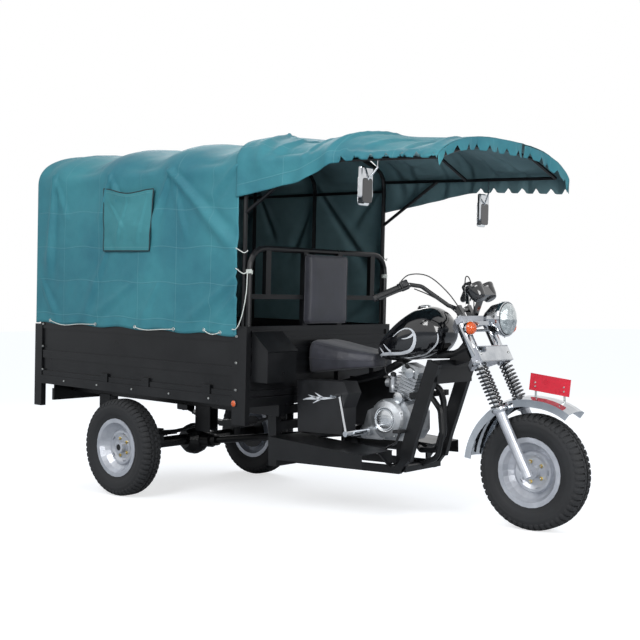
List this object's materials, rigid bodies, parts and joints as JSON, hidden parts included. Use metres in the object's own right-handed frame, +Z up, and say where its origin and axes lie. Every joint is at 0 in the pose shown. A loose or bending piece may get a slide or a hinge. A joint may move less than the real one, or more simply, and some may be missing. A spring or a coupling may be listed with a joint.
{
  "type": "cargo motor tricycle",
  "caption": "Cargo motor tricycle with a tarpaulin-covered steel load bed, a cloth canopy over the rider, an open engine and a sprung fork.",
  "frame": {"origin": "centre of the footprint, on the ground", "axes": "+X forward, +Y to the rider's left, +Z up"},
  "size_m": [3.5206, 1.296, 2.1111],
  "materials": {
    "black_paint": "gloss",
    "silver_paint": "satin",
    "chrome": "gloss",
    "cast_alloy": "satin",
    "tyre": "matt",
    "teal_cloth": "matt",
    "seat_cover": "satin",
    "amber_lens": "gloss",
    "red_lens": "gloss",
    "red_paint": "gloss"
  },
  "bodies": {
    "chassis": {"rear_axle": "black_paint", "leaf_spring_right": "black_paint", "leaf_spring_left": "black_paint", "prop_shaft": "black_paint", "chassis_ladder": "black_paint", "bed_frame": "black_paint", "side_panel_right": "black_paint", "side_panel_left": "black_paint", "headboard": "black_paint", "tail_lamp_bar": "red_lens", "bow_frame": "black_paint", "tarp_cover": "teal_cloth", "canopy_cover": "teal_cloth", "guard_loop": "black_paint", "backrest_pad": "seat_cover", "toolbox": "black_paint", "mirror_right": "chrome", "mirror_left": "chrome", "front_frame": "black_paint", "running_board_right": "black_paint", "running_board_left": "black_paint", "side_cover_right": "black_paint", "side_cover_left": "black_paint", "seat": "seat_cover", "fuel_tank": "black_paint", "engine_crankcase": "cast_alloy", "engine_cylinder": "cast_alloy", "carburettor": "cast_alloy", "kick_starter": "chrome", "exhaust": "black_paint"},
    "steering": {"fork": "silver_paint", "fork_spring_right": "black_paint", "fork_spring_left": "black_paint", "handlebar": "black_paint", "headlight": "chrome", "gauge_cluster": "chrome", "indicator_bar": "amber_lens", "front_fender": "chrome", "front_plate": "red_paint"},
    "front_wheel": {"front_tyre": "tyre", "front_rim": "silver_paint"},
    "rear_wheel_right": {"rear_right_tyre": "tyre", "rear_right_rim": "silver_paint"},
    "rear_wheel_left": {"rear_left_tyre": "tyre", "rear_left_rim": "silver_paint"},
    "tailgate": {"tailgate": "black_paint"},
    "toolbox_lid": {"toolbox_lid": "black_paint"}
  },
  "joints": [
    {"name": "steering_turn", "type": "hinge", "parent": "chassis", "child": "steering", "pos_m": [1.42607, 0, 0.26046], "axis": [-0.4462, 0, 0.8949], "range_deg": [-40, 40]},
    {"name": "front_wheel_spin", "type": "hinge", "parent": "steering", "child": "front_wheel", "pos_m": [1.47529, 0, 0.285], "axis": [0, 1, 0], "continuous": true},
    {"name": "rear_wheel_right_spin", "type": "hinge", "parent": "chassis", "child": "rear_wheel_right", "pos_m": [-0.94471, -0.575, 0.285], "axis": [0, 1, 0], "continuous": true},
    {"name": "rear_wheel_left_spin", "type": "hinge", "parent": "chassis", "child": "rear_wheel_left", "pos_m": [-0.94471, 0.575, 0.285], "axis": [0, 1, 0], "continuous": true},
    {"name": "tailgate_drop", "type": "hinge", "parent": "chassis", "child": "tailgate", "pos_m": [-1.75229, 0, 0.70352], "axis": [0, -1, 0], "range_deg": [0, 178]},
    {"name": "toolbox_lid_lift", "type": "hinge", "parent": "chassis", "child": "toolbox_lid", "pos_m": [0.13276, 0, 0.9736], "axis": [0, -1, 0], "range_deg": [0, 95]}
  ]
}
